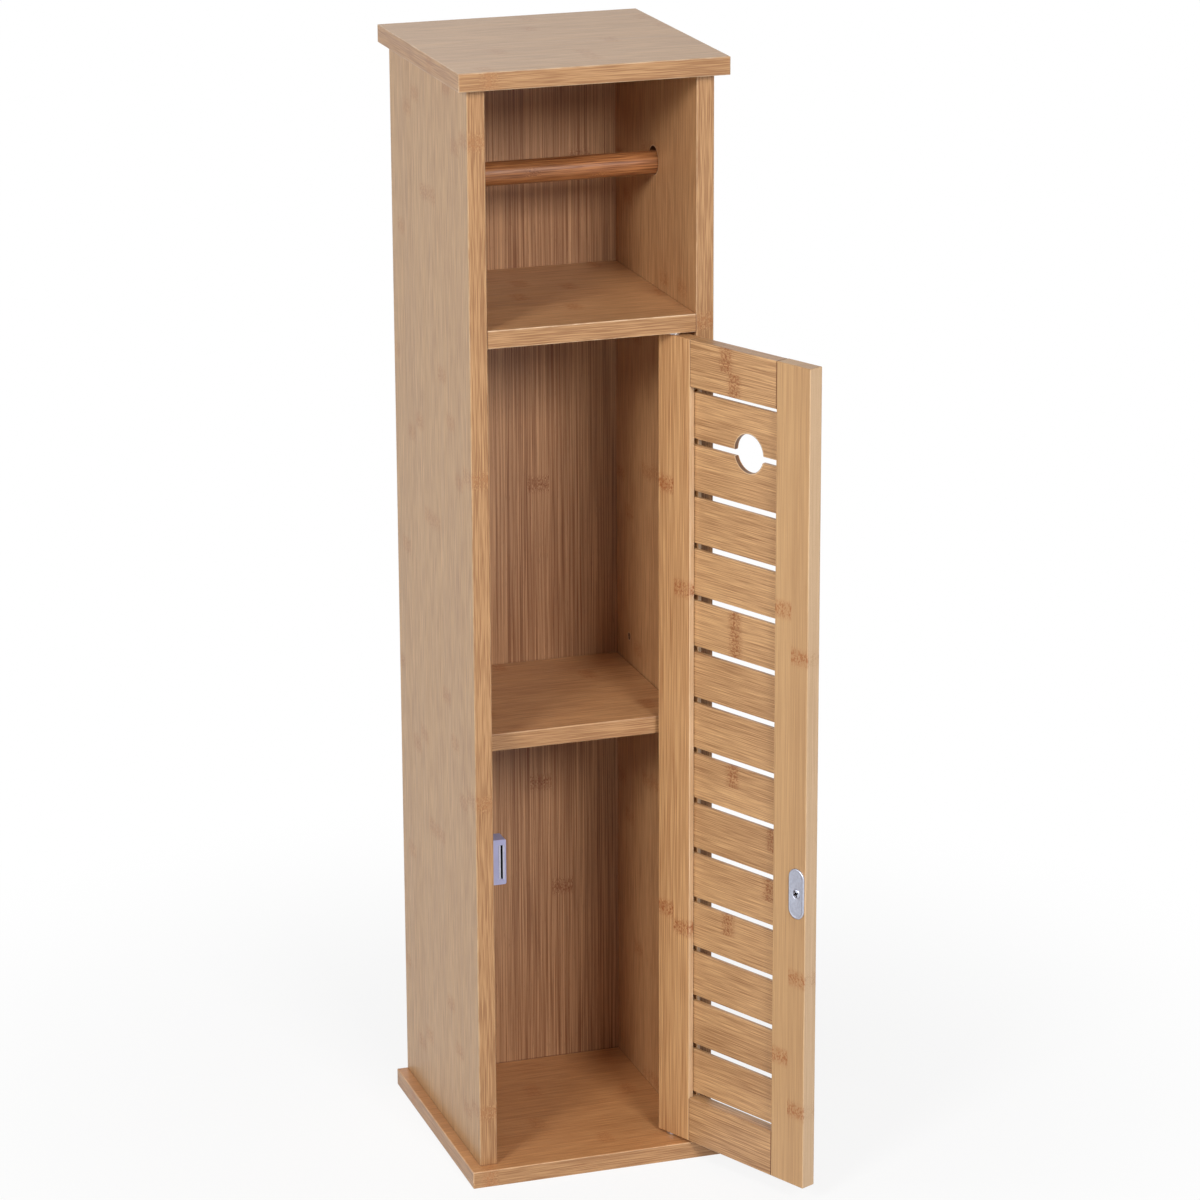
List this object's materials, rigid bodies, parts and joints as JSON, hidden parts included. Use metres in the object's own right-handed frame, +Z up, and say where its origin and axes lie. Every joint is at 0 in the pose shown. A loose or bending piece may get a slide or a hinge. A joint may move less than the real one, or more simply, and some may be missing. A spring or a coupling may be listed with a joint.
{
  "type": "toilet roll storage cabinet",
  "caption": "Slim tall bamboo cabinet with an open roll bay and rod on top and shelved compartments below behind a slatted door that a magnetic catch holds shut.",
  "frame": {"origin": "centre of the base board's underside, on the floor", "axes": "+Z up, -Y towards the front with the door, +X to the right seen from the front, where the door is hinged"},
  "size_m": [0.2169, 0.2982, 0.79],
  "materials": {
    "bamboo_case": "satin lacquered bamboo, vertical grain",
    "bamboo_back": "satin lacquered bamboo, narrow vertical strips",
    "bamboo_shelf": "satin lacquered bamboo, grain along the width",
    "bamboo_door": "satin lacquered bamboo",
    "dark_bamboo": "polished turned bamboo",
    "dowel_wood": "raw turned wood",
    "zinc_plated_steel": "zinc plated",
    "bright_steel": "bright",
    "white_nylon": "matte",
    "grey_plastic": "matte",
    "ferrite": "dull black"
  },
  "bodies": {
    "cabinet": {"top_board": "bamboo_case", "base_board": "bamboo_case", "left_side_panel": "bamboo_case", "right_side_panel": "bamboo_case", "back_panel": "bamboo_back", "upper_shelf": "bamboo_shelf", "middle_shelf": "bamboo_shelf", "top_dowels": "dowel_wood", "shelf_dowels": "dowel_wood", "back_dowels": "dowel_wood", "base_screws": "zinc_plated_steel", "shelf_pins": "zinc_plated_steel", "upper_pivot_bush": "white_nylon", "lower_pivot_bush": "white_nylon", "catch_housing": "grey_plastic", "catch_magnet": "ferrite", "catch_pole_plates": "bright_steel", "catch_screws": "zinc_plated_steel"},
    "door": {"hinge_stile": "bamboo_door", "latch_stile": "bamboo_door", "top_rail": "bamboo_door", "bottom_rail": "bamboo_door", "rail_dowels": "dowel_wood", "upper_pivot_pin": "bright_steel", "lower_pivot_pin": "bright_steel", "strike_plate": "zinc_plated_steel", "strike_screw": "zinc_plated_steel", "slat_01": "bamboo_door", "slat_02": "bamboo_door", "slat_03": "bamboo_door", "slat_04": "bamboo_door", "slat_05": "bamboo_door", "slat_06": "bamboo_door", "slat_07": "bamboo_door", "slat_08": "bamboo_door", "slat_09": "bamboo_door", "slat_10": "bamboo_door", "slat_11": "bamboo_door", "slat_12": "bamboo_door", "slat_13": "bamboo_door", "slat_14": "bamboo_door"},
    "rod": {"roll_rod": "dark_bamboo"}
  },
  "joints": [
    {"name": "door_hinge", "type": "hinge", "parent": "cabinet", "child": "door", "pos_m": [0.0615, -0.07755, 0.307], "axis": [0, 0, 1], "range_deg": [-115, 2]},
    {"name": "rod_spin", "type": "hinge", "parent": "cabinet", "child": "rod", "pos_m": [0, 0, 0.7011], "axis": [1, 0, 0], "continuous": true}
  ]
}
